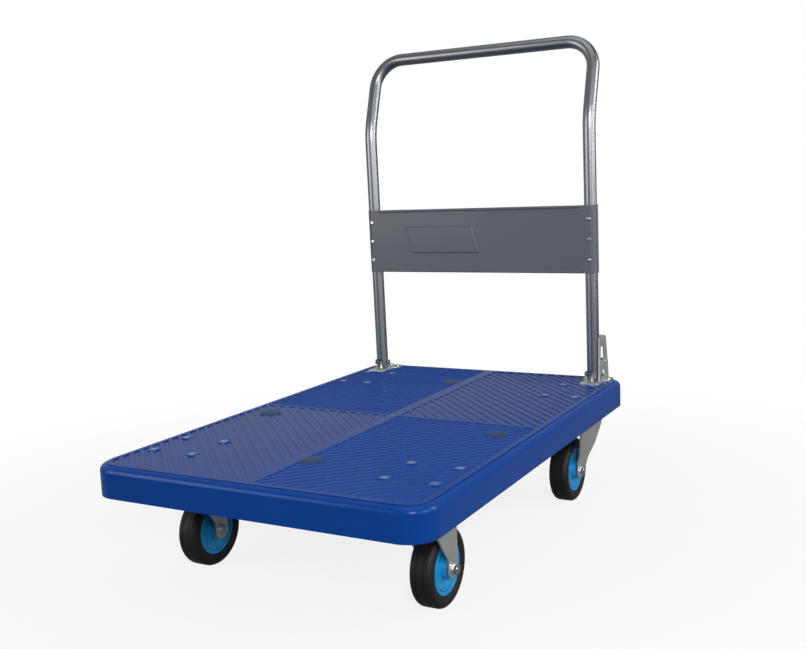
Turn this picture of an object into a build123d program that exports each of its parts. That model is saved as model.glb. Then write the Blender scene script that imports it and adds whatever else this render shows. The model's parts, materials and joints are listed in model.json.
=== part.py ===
from build123d import *
import math
import os

# Folding platform cart. Millimetres. The origin is on the floor under the middle of the
# platform, +X points away from the handle, +Y points across the platform and +Z points up.

# Platform moulding
deck_length = 915
deck_width = 600
deck_corner = 45
deck_height = 49.7
skirt_overlap = 3.5
edge_round = 10
wall = 4
top_skin = 5
rib_thickness = 3
rib_recess = 21.5
rib_pitch_x = 120
rib_pitch_y = 149
load_raise = 0.5
load_rear_margin = 97.5
load_margin = 18

# Casters
wheel_diameter = 125
tyre_width = 38
tyre_shoulder = 9
hub_radius = 42
hub_width = 31.6
boss_radius = 17
boss_length = 42
bearing_radius = 14
bearing_width = 8
axle_diameter = 10
running_clearance = 0.05
side_gap = 0.5
spacer_length = 1.5
leg_thickness = 3.5
mount_headroom = 45
plate_thickness = 4
front_inset_x = 150.5
front_inset_y = 79.5
front_trail = 37
front_pitch = 82
front_plate = 110
rear_inset_x = 159.5
rear_inset_y = 68
rear_lead = 13
rear_pitch_x = 105
rear_pitch_y = 60
rear_plate_x = 132
rear_plate_y = 96
race_stack = 16
crown_thickness = 4
race_radius = 33
kingpin_diameter = 12
bolt_diameter = 8
bolt_hole_gap = 0.25
bolt_head = 15
bolt_head_height = 2
nut_height = 7
flange_radius = 8
cap_size = 16.6
cap_gap = 0.2
cap_proud = 1
cap_pocket_depth = 3.5
cap_corner = 2
pad_thickness = 6
seat_margin = 2
caster_boss_radius = 11

# Handle
post_inset = 50
pivot_inset = 59.5
tube_diameter = 25.4
tube_wall = 1.5
handle_lean = 1.05
bend_rise = 535.8
bend_angle = 18.2
bend_radius = 160
bar_rise = 688.8
bar_corner = 60
panel_rise = 226.8
panel_height = 137
panel_sheet = 1.2
panel_bead = 3
emboss_height = 2
rivet_radius = 4
rivet_head = 2
rivet_stem = 1.6
rivet_step = 41.5
foot_trim = 0.7
bush_length = 34
bush_gap = 0.05

# Hinge shoes and handle lock
shoe_thickness = 3.3
shoe_ahead = 34
shoe_behind = 48
shoe_step = 13
shoe_front_width = 40
shoe_rear_width = 58
screw_radius = 3
screw_hole_gap = 0.2
screw_boss_radius = 9
tongue_thickness = 6
tongue_radius = 8
tongue_gap = 0.4
head_gap = 0.5
head_thickness = 3.5
cheek_thickness = 3
cheek_gap = 0.7
cheek_ahead = 9
cheek_behind_top = 34
cheek_behind_foot = 52
cheek_rise = 94.8
pivot_gap = 0.8
pawl_thickness = 5
pawl_pin_behind = 35
pawl_pin_rise = 39.8
striker_behind = 22.5
striker_rise = 37.8
striker_radius = 2.5
pawl_lift = 35

# Values worked out from the sizes above
mount_height = wheel_diameter + mount_headroom
crown_top = mount_height - race_stack
skirt_bottom = mount_height - skirt_overlap
deck_face = skirt_bottom + deck_height
skin_under = deck_face - top_skin
rib_bottom = skirt_bottom + rib_recess
load_rear = deck_length / 2 - load_rear_margin
front_caster_x = deck_length / 2 - front_inset_x
front_caster_y = deck_width / 2 - front_inset_y
rear_caster_x = rear_inset_x - deck_length / 2
rear_caster_y = deck_width / 2 - rear_inset_y
post_y = deck_width / 2 - post_inset
pivot_x = pivot_inset - deck_length / 2
bend_height = deck_face + bend_rise
bar_height = deck_face + bar_rise
panel_bottom = deck_face + panel_rise
panel_top = panel_bottom + panel_height
shoe_front = pivot_x + shoe_ahead
shoe_rear = pivot_x - shoe_behind
cheek_top = deck_face + cheek_rise
pawl_pin = (pivot_x - pawl_pin_behind, deck_face + pawl_pin_rise)
striker = (pivot_x - striker_behind, deck_face + striker_rise)
wheel_radius = wheel_diameter / 2
axle_radius = axle_diameter / 2
leg_inner = boss_length / 2 + spacer_length + side_gap
leg_outer = leg_inner + leg_thickness
tube_radius = tube_diameter / 2
shoe_top = deck_face + shoe_thickness
pivot_z = shoe_top + pivot_gap + tube_radius
cheek_inner = tube_radius + cheek_gap
cheek_outer = cheek_inner + cheek_thickness
pivot_bolt_radius = bolt_diameter / 2
sides = {"left": -1, "right": 1}


def block(low, high):
    size = [b - a for a, b in zip(low, high)]
    return Pos(*[(a + b) / 2 for a, b in zip(low, high)]) * Box(*size)


def upright(radius, z0, z1, x=0, y=0):
    return Pos(x, y, (z0 + z1) / 2) * Cylinder(radius, z1 - z0)


def crosswise(radius, y0, y1, x, z):
    return Pos(x, (y0 + y1) / 2, z) * Rot(X=90) * Cylinder(radius, y1 - y0)


def side_plate(points, y0, y1, radii):
    """A plate whose outline is drawn in side view, from y0 to y1."""
    view = Plane(origin=(0, y1, 0), x_dir=(1, 0, 0), z_dir=(0, -1, 0))
    outline = FilletPolyline(*points, radius=radii, close=True)
    return extrude(view * make_face(outline), amount=y1 - y0)


def turned(points, x, y, z, fillets=()):
    """A ring turned about an axle along Y, from a profile of (radius, offset) points."""
    face = make_face(Polyline(*points, close=True))
    for corner, radius in fillets:
        near = face.vertices().sort_by_distance(Vector(corner[0], corner[1], 0))[0]
        face = fillet(near, radius)
    return Pos(x, y, z) * revolve(face, Axis.Y)


def hexagon(across_corners, y0, y1, x, z):
    view = Plane(origin=(x, y1, z), x_dir=(1, 0, 0), z_dir=(0, -1, 0))
    return extrude(view * RegularPolygon(across_corners, 6), amount=y1 - y0)


def together(shapes):
    return Compound(children=list(shapes))


def pattern(x, y, pitch_x, pitch_y):
    return [(x + i * pitch_x / 2, y + j * pitch_y / 2) for i in (-1, 1) for j in (-1, 1)]


def front_holes(side):
    return pattern(front_caster_x, side * front_caster_y, front_pitch, front_pitch)


def rear_holes(side):
    return pattern(rear_caster_x, side * rear_caster_y, rear_pitch_x, rear_pitch_y)


def seat_holes():
    return [holes(side) for side in sides.values() for holes in (front_holes, rear_holes)]


def caster_holes():
    return [hole for holes in seat_holes() for hole in holes]


def shoe_holes(side):
    wing = (shoe_rear_width / 2 + cheek_outer) / 2
    places = ((19, wing), (19, -wing), (9, 0))
    return [(shoe_rear + x, side * post_y + y) for x, y in places]


# Platform

def deck_plan(inset):
    return RectangleRounded(deck_length - 2 * inset, deck_width - 2 * inset, deck_corner - inset)


def deck_room():
    """The open space under the skin, inside the skirt."""
    room = Pos(0, 0, skirt_bottom) * extrude(deck_plan(wall), amount=deck_height - top_skin)
    return fillet(room.faces().sort_by(Axis.Z)[-1].edges(), edge_round - wall)


def rib_places(half, pitch):
    count = int((half - wall - rib_thickness) / pitch)
    return [pitch * i for i in range(-count, count + 1)]


def caster_seat(x, y, size_x, size_y):
    """A walled box under the skin, closed below by the pad that the caster plate is bolted to."""
    half_x, half_y = size_x / 2 + seat_margin, size_y / 2 + seat_margin
    outer = block((x - half_x, y - half_y, mount_height), (x + half_x, y + half_y, skin_under))
    room = block((x - half_x + wall, y - half_y + wall, mount_height + pad_thickness),
                 (x + half_x - wall, y + half_y - wall, skin_under + 1))
    return outer, room


def caster_seats():
    seats = []
    for side in sides.values():
        seats.append(caster_seat(front_caster_x, side * front_caster_y, front_plate, front_plate))
        seats.append(caster_seat(rear_caster_x, side * rear_caster_y, rear_plate_x, rear_plate_y))
    return seats


def deck_bores():
    """The bolt holes and the screw holes, right through the platform."""
    bolt_hole = bolt_diameter / 2 + bolt_hole_gap
    bores = [upright(bolt_hole, mount_height - 1, deck_face + 1, x, y) for x, y in caster_holes()]
    screw_hole = screw_radius + screw_hole_gap
    for side in sides.values():
        bores += [upright(screw_hole, rib_bottom - 1, deck_face + 1, x, y) for x, y in shoe_holes(side)]
    return bores


def make_deck():
    body = Pos(0, 0, skirt_bottom) * extrude(deck_plan(0), amount=deck_height)
    body = fillet(body.faces().sort_by(Axis.Z)[-1].edges(), edge_round)
    load_front = deck_length / 2 - load_margin
    load_width = deck_width - 2 * load_margin
    load_plan = RectangleRounded(load_front + load_rear, load_width, deck_corner - load_margin)
    load = Pos((load_front - load_rear) / 2, 0, deck_face) * extrude(load_plan, amount=load_raise)
    pocket = cap_size / 2 + cap_gap
    pockets = []
    for x, y in caster_holes():
        pockets.append(block((x - pocket, y - pocket, deck_face - cap_pocket_depth),
                             (x + pocket, y + pocket, deck_face + load_raise + 1)))
    return body - deck_room() + load - pockets - deck_bores()


def make_deck_ribs():
    """The ribs, caster seats and screw bosses under the skin, as plain solids that meet face to face."""
    half = rib_thickness / 2
    long_places = rib_places(deck_width / 2, rib_pitch_y)
    along = [block((-deck_length / 2, y - half, rib_bottom), (deck_length / 2, y + half, skin_under))
             for y in long_places]
    seats = caster_seats()
    taken = [outer for outer, _ in seats]
    bosses = []
    for side in sides.values():
        bosses += [upright(screw_boss_radius, rib_bottom, skin_under, x, y) for x, y in shoe_holes(side)]
    across = [block((x - half, -deck_width / 2, rib_bottom), (x + half, deck_width / 2, skin_under)) - along
              for x in rib_places(deck_length / 2, rib_pitch_x)]
    space = deck_room() - bosses
    for outer in taken:
        space = space - outer
    bores = deck_bores()
    solids = []
    for rib in along + across:
        solids += (rib & space).solids()
    for (outer, clear), holes in zip(seats, seat_holes()):
        posts = [upright(caster_boss_radius, mount_height, skin_under, x, y) for x, y in holes]
        solids += (outer - clear + posts - bores).solids()
    for boss in bosses:
        solids += (boss - bores).solids()
    return together(solids)


def make_caster_bolts():
    """Pan-head bolts through the deck, with their heads at the bottom of the cap pockets."""
    seat = deck_face - cap_pocket_depth
    end = mount_height - plate_thickness - nut_height - 2
    bolts = []
    for x, y in caster_holes():
        bolts.append(upright(bolt_head / 2, seat, seat + bolt_head_height, x, y)
                     + upright(bolt_diameter / 2, end, seat, x, y))
    return together(bolts)


def make_bolt_caps():
    low = deck_face - cap_pocket_depth + bolt_head_height
    high = deck_face + load_raise + cap_proud
    caps = []
    for x, y in caster_holes():
        cap = block((x - cap_size / 2, y - cap_size / 2, low), (x + cap_size / 2, y + cap_size / 2, high))
        cap = fillet(cap.edges().filter_by(Axis.Z), cap_corner)
        caps.append(fillet(cap.faces().sort_by(Axis.Z)[-1].edges(), 0.7))
    return together(caps)


def make_caster_nuts():
    high = mount_height - plate_thickness
    nuts = []
    for x, y in caster_holes():
        body = Pos(x, y, high - nut_height) * extrude(RegularPolygon(7.2, 6), amount=nut_height)
        nut = body + upright(flange_radius, high - 1.5, high, x, y)
        nuts.append(nut - upright(bolt_diameter / 2, high - nut_height - 1, high + 1, x, y))
    return together(nuts)


# Swivel casters at the front

def make_front_plate(side):
    x, y = front_caster_x, side * front_caster_y
    low = mount_height - plate_thickness
    plate = Pos(x, y, low) * extrude(RectangleRounded(front_plate, front_plate, 12), amount=plate_thickness)
    cup = upright(race_radius, crown_top + 5.5, low + 0.5, x, y) - upright(race_radius - 9, crown_top, low, x, y)
    cup = cup + upright(race_radius + 4, low - 2.5, low + 0.5, x, y)
    plate = plate + cup
    bolt_hole = bolt_diameter / 2 + bolt_hole_gap
    cuts = [upright(bolt_hole, low - 1, mount_height + 1, hx, hy) for hx, hy in front_holes(side)]
    return plate - cuts - upright(kingpin_diameter / 2, low - 10, mount_height + 1, x, y)


def make_kingpin(side):
    x, y = front_caster_x, side * front_caster_y
    low = crown_top - crown_thickness
    pin = upright(kingpin_diameter / 2, low - 9, mount_height, x, y)
    nut = Pos(x, y, low - side_gap - 7) * extrude(RegularPolygon(10.4, 6), amount=7)
    return pin + nut


def fork_leg_outline():
    """Side view of a front leg: round under the axle, upright behind, raked forward in front."""
    ax = front_caster_x - front_trail
    behind = ax - 15
    return [(behind, wheel_radius - 15), (ax + 14, wheel_radius - 15), (ax + 14, wheel_radius + 16),
            (front_caster_x + 34, crown_top), (behind, crown_top)]


def make_front_fork(side):
    x, y = front_caster_x, side * front_caster_y
    ax = x - front_trail
    radii = [14, 13, 20, 6, 12]
    legs = []
    for edge in (-1, 1):
        near, far = sorted((y + edge * leg_inner, y + edge * leg_outer))
        legs.append(side_plate(fork_leg_outline(), near, far, radii))
    crown = block((ax - 3, y - leg_outer, crown_top - crown_thickness), (x + 24, y + leg_outer, crown_top))
    crown = crown + upright(race_radius + 3.5, crown_top - crown_thickness, crown_top, x, y)
    fork = crown + legs
    fork = fork - crosswise(axle_radius, y - leg_outer - 1, y + leg_outer + 1, ax, wheel_radius)
    return fork - upright(kingpin_diameter / 2 + running_clearance, crown_top - 9, crown_top + 9, x, y)


def make_ball_ring(side):
    """The lower race, with its balls standing in it."""
    x, y = front_caster_x, side * front_caster_y
    low = crown_top
    race = upright(race_radius - 1, low, low + 2.4, x, y) - upright(race_radius - 10, low - 1, low + 5, x, y)
    count = 16
    ring = race_radius - 5.5
    balls = []
    for i in range(count):
        turn = 2 * math.pi * i / count
        ball = Sphere(2.6) & block((-3, -3, -2.2), (3, 3, 2.6))
        balls.append(Pos(x + ring * math.cos(turn), y + ring * math.sin(turn), low + 2.4) * ball)
    return race + balls


def make_dust_seal(side):
    x, y = front_caster_x, side * front_caster_y
    seal = upright(race_radius + 3, crown_top, crown_top + 6.5, x, y)
    return seal - upright(race_radius + 1, crown_top - 1, crown_top + 8, x, y)


# Rigid casters at the handle end

def make_rear_fork(side):
    """One pressed steel piece: a top plate, and two legs that draw in down to the axle."""
    x, y = rear_caster_x, side * rear_caster_y
    ax = x + rear_lead
    top = rear_plate_y / 2
    knee = wheel_radius + 14
    low = wheel_radius - 16
    half = [(top, mount_height), (top, mount_height - 12), (leg_outer, knee), (leg_outer, low),
            (leg_inner, low), (leg_inner, knee), (top - leg_thickness, mount_height - 12),
            (top - leg_thickness, mount_height - plate_thickness)]
    section = half + [(-a, b) for a, b in reversed(half)]
    view = Plane(origin=(x - rear_plate_x, y, 0), x_dir=(0, 1, 0), z_dir=(1, 0, 0))
    channel = extrude(view * make_face(Polyline(*section, close=True)), amount=2 * rear_plate_x)
    front, behind = x + rear_plate_x / 2, x - rear_plate_x / 2
    outline = [(ax - 15, low), (ax + 14, low), (ax + 14, wheel_radius + 30), (front, mount_height - 14),
               (front, mount_height), (behind, mount_height), (behind - 4, mount_height - 34),
               (behind + 7, wheel_radius + 38)]
    side_view = side_plate(outline, y - top - 1, y + top + 1, [13, 13, 20, 6, 2, 2, 18, 14])
    fork = channel & side_view
    cuts = [upright(bolt_diameter / 2 + bolt_hole_gap, mount_height - 9, mount_height + 1, hx, hy)
            for hx, hy in rear_holes(side)]
    cuts.append(crosswise(axle_radius, y - leg_outer - 1, y + leg_outer + 1, ax, wheel_radius))
    return fork - cuts


# Wheels, the same on all four casters

def make_tyre(x, y):
    half = tyre_width / 2
    bead = hub_width / 2
    points = [(hub_radius + 1, -bead), (hub_radius + 3, -half), (wheel_radius, -half), (wheel_radius, half),
              (hub_radius + 3, half), (hub_radius + 1, bead)]
    rounds = [((wheel_radius, -half), tyre_shoulder), ((wheel_radius, half), tyre_shoulder)]
    return turned(points, x, y, wheel_radius, rounds)


def make_hub(x, y):
    """Moulded wheel centre: flanged rim, a thin dished web and a boss with two bearing seats."""
    rim = hub_radius + 1
    half = hub_width / 2
    boss = boss_length / 2
    seat = boss - bearing_width
    points = [(axle_radius + 3, -seat), (bearing_radius, -seat), (bearing_radius, -boss), (boss_radius, -boss),
              (boss_radius + 2, -half + 3), (rim - 7, -half + 3), (rim - 5, -half), (rim, -half), (rim, half),
              (rim - 5, half), (rim - 7, half - 3), (boss_radius + 2, half - 3), (boss_radius, boss),
              (bearing_radius, boss), (bearing_radius, seat), (axle_radius + 3, seat)]
    return turned(points, x, y, wheel_radius)


def make_bearings(x, y):
    boss = boss_length / 2
    seat = boss - bearing_width
    bore = axle_radius + running_clearance
    rings = []
    for edge in (-1, 1):
        inner, outer = edge * seat, edge * boss
        points = [(bore, inner), (bearing_radius, inner), (bearing_radius, outer), (bore, outer)]
        rings.append(turned(points, x, y, wheel_radius))
    return together(rings)


def make_axle(x, y):
    """A hexagon-head bolt across the fork, with its end showing past the nut on the +Y side."""
    head = hexagon(8.6, y - leg_outer - 6, y - leg_outer, x, wheel_radius)
    end = y + leg_outer + nut_height + 1.5
    return head + crosswise(axle_radius, y - leg_outer - 1, end, x, wheel_radius)


def make_axle_nut(x, y):
    nut = hexagon(9.2, y + leg_outer, y + leg_outer + nut_height, x, wheel_radius)
    face = y + leg_outer + nut_height
    collar = crosswise(7.4, face - 2.5, face + 0.6, x, wheel_radius)
    return nut + collar - crosswise(axle_radius, y, y + 60, x, wheel_radius)


def make_spacers(x, y):
    rings = []
    for edge in (-1, 1):
        ends = sorted((y + edge * leg_inner, y + edge * (leg_inner - spacer_length)))
        ring = crosswise(8, ends[0], ends[1], x, wheel_radius)
        rings.append(ring - crosswise(axle_radius, ends[0] - 1, ends[1] + 1, x, wheel_radius))
    return together(rings)


# Handle. It is drawn upright and then leaned forward about its pivots.

def leaned(shape):
    hinge = Pos(pivot_x, 0, pivot_z)
    return hinge * Rot(Y=handle_lean) * hinge.inverse() * shape


def handle_points():
    back = (bar_height - bend_height) * math.tan(math.radians(bend_angle))
    rising = [(0, pivot_z - tube_radius - 4), (0, bend_height), (-back, bar_height)]
    left = [(pivot_x + x, -post_y, z) for x, z in rising]
    right = [(pivot_x + x, post_y, z) for x, z in reversed(rising)]
    return left + right


def post_holes(radius):
    centres = [side * post_y for side in sides.values()]
    return [crosswise(radius, y - 40, y + 40, pivot_x, pivot_z) for y in centres]


def foot_keep(radius):
    """What may stay of each post: everything above its pivot, and a round foot about the pivot."""
    keep = block((pivot_x - 200, -deck_width, pivot_z), (pivot_x + 200, deck_width, bar_height + 60))
    return keep + crosswise(radius, -deck_width, deck_width, pivot_x, pivot_z)


def foot_slots():
    """The slot in the foot of each post that turns about its tongue: open below and in front."""
    reach = tongue_radius + tongue_gap
    half = tongue_thickness / 2 + tongue_gap
    low, front = pivot_z - tube_radius - 5, pivot_x + tube_radius + 5
    slots = []
    for side in sides.values():
        y = side * post_y
        slots.append(crosswise(reach, y - half, y + half, pivot_x, pivot_z)
                     + block((pivot_x - reach, y - half, low), (front, y + half, pivot_z))
                     + block((pivot_x, y - half, pivot_z - 1), (front, y + half, pivot_z + reach)))
    return slots


def rivet_shanks(radius):
    """The stems of the panel rivets, through the sheet and the front wall of each post."""
    front = pivot_x + tube_radius + panel_sheet
    middle = (panel_bottom + panel_top) / 2
    places = [(side * post_y, middle + k * rivet_step) for side in sides.values() for k in (-1, 0, 1)]
    return [Pos(front - 2, y, z) * Rot(Y=90) * Cylinder(radius, 5) for y, z in places]


def make_handle_tube():
    path = FilletPolyline(*handle_points(), radius=[bend_radius, bar_corner, bar_corner, bend_radius])
    start = Plane(origin=path @ 0, z_dir=path % 0)
    ring = Circle(tube_radius) - Circle(tube_radius - tube_wall)
    tube = sweep(start * ring, path=path)
    tube = tube & foot_keep(tube_radius - foot_trim)
    return leaned(tube - post_holes(pivot_bolt_radius + 0.3) - foot_slots() - rivet_shanks(rivet_stem))


def make_pivot_bushes():
    """A plug in the foot of each post, bored for the pivot bolt and slotted for the tongue."""
    bushes = []
    for side in sides.values():
        bore = tube_radius - tube_wall - bush_gap
        plug = upright(bore, pivot_z - tube_radius, pivot_z + bush_length, pivot_x, side * post_y)
        plug = plug & foot_keep(tube_radius - foot_trim - 1)
        bushes.append(plug - post_holes(pivot_bolt_radius + running_clearance) - foot_slots())
    return leaned(together(bushes))


def make_panel():
    inner = tube_radius
    outer = tube_radius + panel_sheet
    wrap = pivot_x - 5
    with BuildSketch(Plane.XY.offset(panel_bottom)) as plan:
        with BuildLine():
            Line((pivot_x + outer, -post_y), (pivot_x + outer, post_y))
            RadiusArc((pivot_x + outer, post_y), (pivot_x, post_y + outer), -outer)
            Polyline((pivot_x, post_y + outer), (wrap, post_y + outer),
                     (wrap, post_y + inner), (pivot_x, post_y + inner))
            RadiusArc((pivot_x, post_y + inner), (pivot_x + inner, post_y), inner)
            Line((pivot_x + inner, post_y), (pivot_x + inner, -post_y))
            RadiusArc((pivot_x + inner, -post_y), (pivot_x, -post_y - inner), inner)
            Polyline((pivot_x, -post_y - inner), (wrap, -post_y - inner),
                     (wrap, -post_y - outer), (pivot_x, -post_y - outer))
            RadiusArc((pivot_x, -post_y - outer), (pivot_x + outer, -post_y), -outer)
        make_face()
    sheet = extrude(plan.sketch, amount=panel_top - panel_bottom)
    front = pivot_x + outer
    reach = post_y - tube_radius - 6
    beads = []
    for z in (panel_bottom + panel_bead, panel_top - panel_bead):
        bead = crosswise(panel_bead, -reach, reach, front - 0.4, z)
        beads.append(bead & block((front - 0.6, -post_y, z - 10), (front + 10, post_y, z + 10)))
    corners = [(-164, 98), (-8, 98), (7.5, 43.5), (-148.5, 43.5)]
    corners = [(y, panel_bottom + z) for y, z in corners]
    view = Plane(origin=(front - 0.5, 0, 0), x_dir=(0, 1, 0), z_dir=(1, 0, 0))
    outline = FilletPolyline(*corners, radius=5, close=True)
    emboss = extrude(view * make_face(outline), amount=emboss_height + 0.5)
    return leaned(sheet + beads + emboss - rivet_shanks(rivet_stem))


def make_panel_rivets():
    front = pivot_x + tube_radius + panel_sheet
    rivets = []
    for stem in rivet_shanks(rivet_stem):
        middle = stem.center()
        head = Pos(front + rivet_head / 2, middle.Y, middle.Z) * Rot(Y=90) * Cylinder(rivet_radius, rivet_head)
        head = fillet(head.faces().sort_by(Axis.X)[-1].edges(), rivet_head * 0.8)
        rivets.append(head + stem)
    return leaned(together(rivets))


def make_striker():
    """The bar on the back of the right post that the lock pawl hooks over, held by two lugs."""
    x, z = striker
    rear = pivot_x - tube_radius
    lugs = []
    for edge in (-1, 1):
        ends = sorted((post_y + edge * 4.5, post_y + edge * 7.5))
        tip = x - striker_radius - 1.5
        outline = [(rear + 4, z - 9), (tip, z - 4), (tip, z + 4), (rear + 4, z + 9)]
        lug = side_plate(outline, ends[0], ends[1], [0.5, 3, 3, 0.5])
        lugs.append(lug - upright(tube_radius, z - 40, z + 40, pivot_x, post_y))
    bar = crosswise(striker_radius, post_y - 7.5, post_y + 7.5, x, z)
    return leaned(bar + lugs)


# Hinge shoes

def shoe_plan(y):
    wide, narrow = shoe_rear_width / 2, shoe_front_width / 2
    step = pivot_x - shoe_step
    points = [(shoe_front, y - narrow), (shoe_front, y + narrow), (step + 6, y + narrow), (step - 4, y + wide),
              (shoe_rear, y + wide), (shoe_rear, y - wide), (step - 4, y - wide), (step + 6, y - narrow)]
    return make_face(FilletPolyline(*points, radius=[4, 4, 3, 4, 5, 5, 4, 3], close=True))


def tongue(y):
    """The blade inside the foot of a post, which the pivot bolt passes through."""
    half = tongue_thickness / 2
    foot = block((pivot_x - tongue_radius, y - half, deck_face + 1), (pivot_x + tongue_radius, y + half, pivot_z))
    return foot + crosswise(tongue_radius, y - half, y + half, pivot_x, pivot_z)


def tall_cheek(y0, y1):
    """The outer wall of the right shoe: it stands beside and behind the post and has two windows."""
    front, rear = pivot_x + cheek_ahead, pivot_x - cheek_behind_top
    outline = [(front, deck_face + 1), (front, cheek_top), (rear, cheek_top),
               (pivot_x - cheek_behind_foot, deck_face + 1)]
    cheek = side_plate(outline, y0, y1, [1, 5, 8, 1])
    upper = [(1, 45.8), (1, 74.8), (-21, 74.8), (-22, 45.8)]
    lower = [(-10, 11.8), (-10, 24.8), (-29, 24.8), (-30, 11.8)]
    for window, radius in ((upper, 4), (lower, 3)):
        corners = [(pivot_x + x, deck_face + z) for x, z in window]
        cheek = cheek - side_plate(corners, y0 - 1, y1 + 1, radius)
    return cheek


def post_rest(y0, y1):
    """The cheek's top, bent in behind the post: the upright handle leans on its front edge."""
    rear_of_post = pivot_x - tube_radius + (cheek_top - pivot_z) * math.tan(math.radians(handle_lean))
    rear = pivot_x - cheek_behind_top + 2
    return block((rear, y0, cheek_top - cheek_thickness), (rear_of_post - 0.4, y1, cheek_top))


def make_shoe(side, locking):
    y = side * post_y
    plate = Pos(0, 0, deck_face) * extrude(shoe_plan(y), amount=shoe_thickness)
    shoe = plate + tongue(y)
    if locking:
        outer = sorted((y + side * cheek_inner, y + side * cheek_outer))
        shoe = shoe + tall_cheek(*outer) + post_rest(y - 6, outer[0] + 1)
        shoe = shoe - crosswise(3, y, y + 40, *pawl_pin)
    screw_hole = screw_radius + screw_hole_gap
    cuts = [upright(screw_hole, deck_face - 1, shoe_top + 1, hx, hy) for hx, hy in shoe_holes(side)]
    cuts.append(crosswise(pivot_bolt_radius, y - 40, y + 40, pivot_x, pivot_z))
    return shoe - cuts


def make_shoe_screws():
    screws = []
    for side in sides.values():
        for x, y in shoe_holes(side):
            head = upright(5.6, shoe_top, shoe_top + 3, x, y)
            head = fillet(head.faces().sort_by(Axis.Z)[-1].edges(), 1.8)
            screws.append(head + upright(screw_radius, rib_bottom - 4, shoe_top, x, y))
    return together(screws)


def bolt_seats(side):
    """Distances from the post's middle to the bolt head outside it and to the nut inside it."""
    near = tube_radius + head_gap
    return (cheek_outer if side == sides["right"] else near), near


def make_pivot_bolt(side):
    y = side * post_y
    outer, inner = bolt_seats(side)
    head = hexagon(6.8, *sorted((y + side * outer, y + side * (outer + head_thickness))), pivot_x, pivot_z)
    ends = sorted((y + side * (outer + 0.5), y - side * (inner + head_thickness + 1.5)))
    return head + crosswise(pivot_bolt_radius, ends[0], ends[1], pivot_x, pivot_z)


def make_pivot_nuts():
    nuts = []
    for side in sides.values():
        y = side * post_y
        inner = bolt_seats(side)[1]
        ends = sorted((y - side * inner, y - side * (inner + head_thickness)))
        nut = hexagon(6.8, ends[0], ends[1], pivot_x, pivot_z)
        nuts.append(nut - crosswise(pivot_bolt_radius, ends[0] - 1, ends[1] + 1, pivot_x, pivot_z))
    return together(nuts)


# Handle lock

def make_lock_pawl():
    """A hooked lever with a foot tab, drawn lifted clear of the striker."""
    px, pz = pawl_pin
    sx, sz = striker
    hook = sx + striker_radius + 0.6
    over = sz + striker_radius + 1.5
    outline = [(px - 20, pz - 1), (px - 6, pz - 6.5), (px + 3, pz - 6.5), (px + 6.4, over), (hook, over),
               (hook, sz - 2), (hook + 4.8, sz - 1), (hook + 4.8, over + 6), (px + 2, over + 7), (px - 19, pz + 4)]
    radii = [1.5, 4, 3, 1, 0.8, 0.8, 1.5, 3, 5, 1.5]
    half = pawl_thickness / 2
    lever = side_plate(outline, post_y - half, post_y + half, radii)
    tab = block((px - 29, post_y - 14, pz - 1), (px - 17, post_y + 10, pz + 3))
    tab = fillet(tab.edges().filter_by(Axis.Z), 3)
    lever = lever + tab - crosswise(3 + running_clearance, post_y - 20, post_y + 20, px, pz)
    pin = Pos(px, 0, pz)
    return pin * Rot(Y=-pawl_lift) * pin.inverse() * lever


def make_lock_pin():
    px, pz = pawl_pin
    outer = post_y + cheek_outer
    pin = crosswise(3, post_y - pawl_thickness / 2 - 3, outer + 1, px, pz)
    head = crosswise(5, outer, outer + 2, px, pz)
    clip = crosswise(5, post_y - pawl_thickness / 2 - 2, post_y - pawl_thickness / 2 - 0.5, px, pz)
    return pin + head + clip


def make_lock_spring():
    """The coils of the pawl's torsion spring, on the pin between the pawl and the cheek."""
    px, pz = pawl_pin
    first = post_y + pawl_thickness / 2 + 1.5
    coils = []
    for i in range(4):
        coils.append(Pos(px, first + 2 * i, pz) * Rot(X=90) * Torus(5.2, 0.95))
    return together(coils)


def all_parts():
    parts = {
        "deck": make_deck(),
        "deck_ribs": make_deck_ribs(),
        "bolt_caps": make_bolt_caps(),
        "caster_bolts": make_caster_bolts(),
        "caster_nuts": make_caster_nuts(),
        "shoe_screws": make_shoe_screws(),
        "pivot_nuts": make_pivot_nuts(),
        "handle_tube": make_handle_tube(),
        "pivot_bushes": make_pivot_bushes(),
        "handle_panel": make_panel(),
        "panel_rivets": make_panel_rivets(),
        "lock_striker": make_striker(),
        "lock_pawl": make_lock_pawl(),
        "lock_pin": make_lock_pin(),
        "lock_spring": make_lock_spring(),
    }
    for name, side in sides.items():
        parts[f"{name}_shoe"] = make_shoe(side, name == "right")
        parts[f"{name}_pivot_bolt"] = make_pivot_bolt(side)
        parts[f"front_{name}_plate"] = make_front_plate(side)
        parts[f"front_{name}_kingpin"] = make_kingpin(side)
        parts[f"front_{name}_fork"] = make_front_fork(side)
        parts[f"front_{name}_ball_ring"] = make_ball_ring(side)
        parts[f"front_{name}_dust_seal"] = make_dust_seal(side)
        parts[f"rear_{name}_fork"] = make_rear_fork(side)
        places = {"front": (front_caster_x - front_trail, side * front_caster_y),
                  "rear": (rear_caster_x + rear_lead, side * rear_caster_y)}
        for end, (x, y) in places.items():
            parts[f"{end}_{name}_tyre"] = make_tyre(x, y)
            parts[f"{end}_{name}_hub"] = make_hub(x, y)
            parts[f"{end}_{name}_bearings"] = make_bearings(x, y)
            parts[f"{end}_{name}_axle"] = make_axle(x, y)
            parts[f"{end}_{name}_axle_nut"] = make_axle_nut(x, y)
            parts[f"{end}_{name}_spacers"] = make_spacers(x, y)
    return parts


os.makedirs("parts", exist_ok=True)
for node, shape in all_parts().items():
    export_step(shape, f"parts/{node}.step")
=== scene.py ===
import json
import math

import bmesh
import bpy
from mathutils import Matrix, Vector


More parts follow.
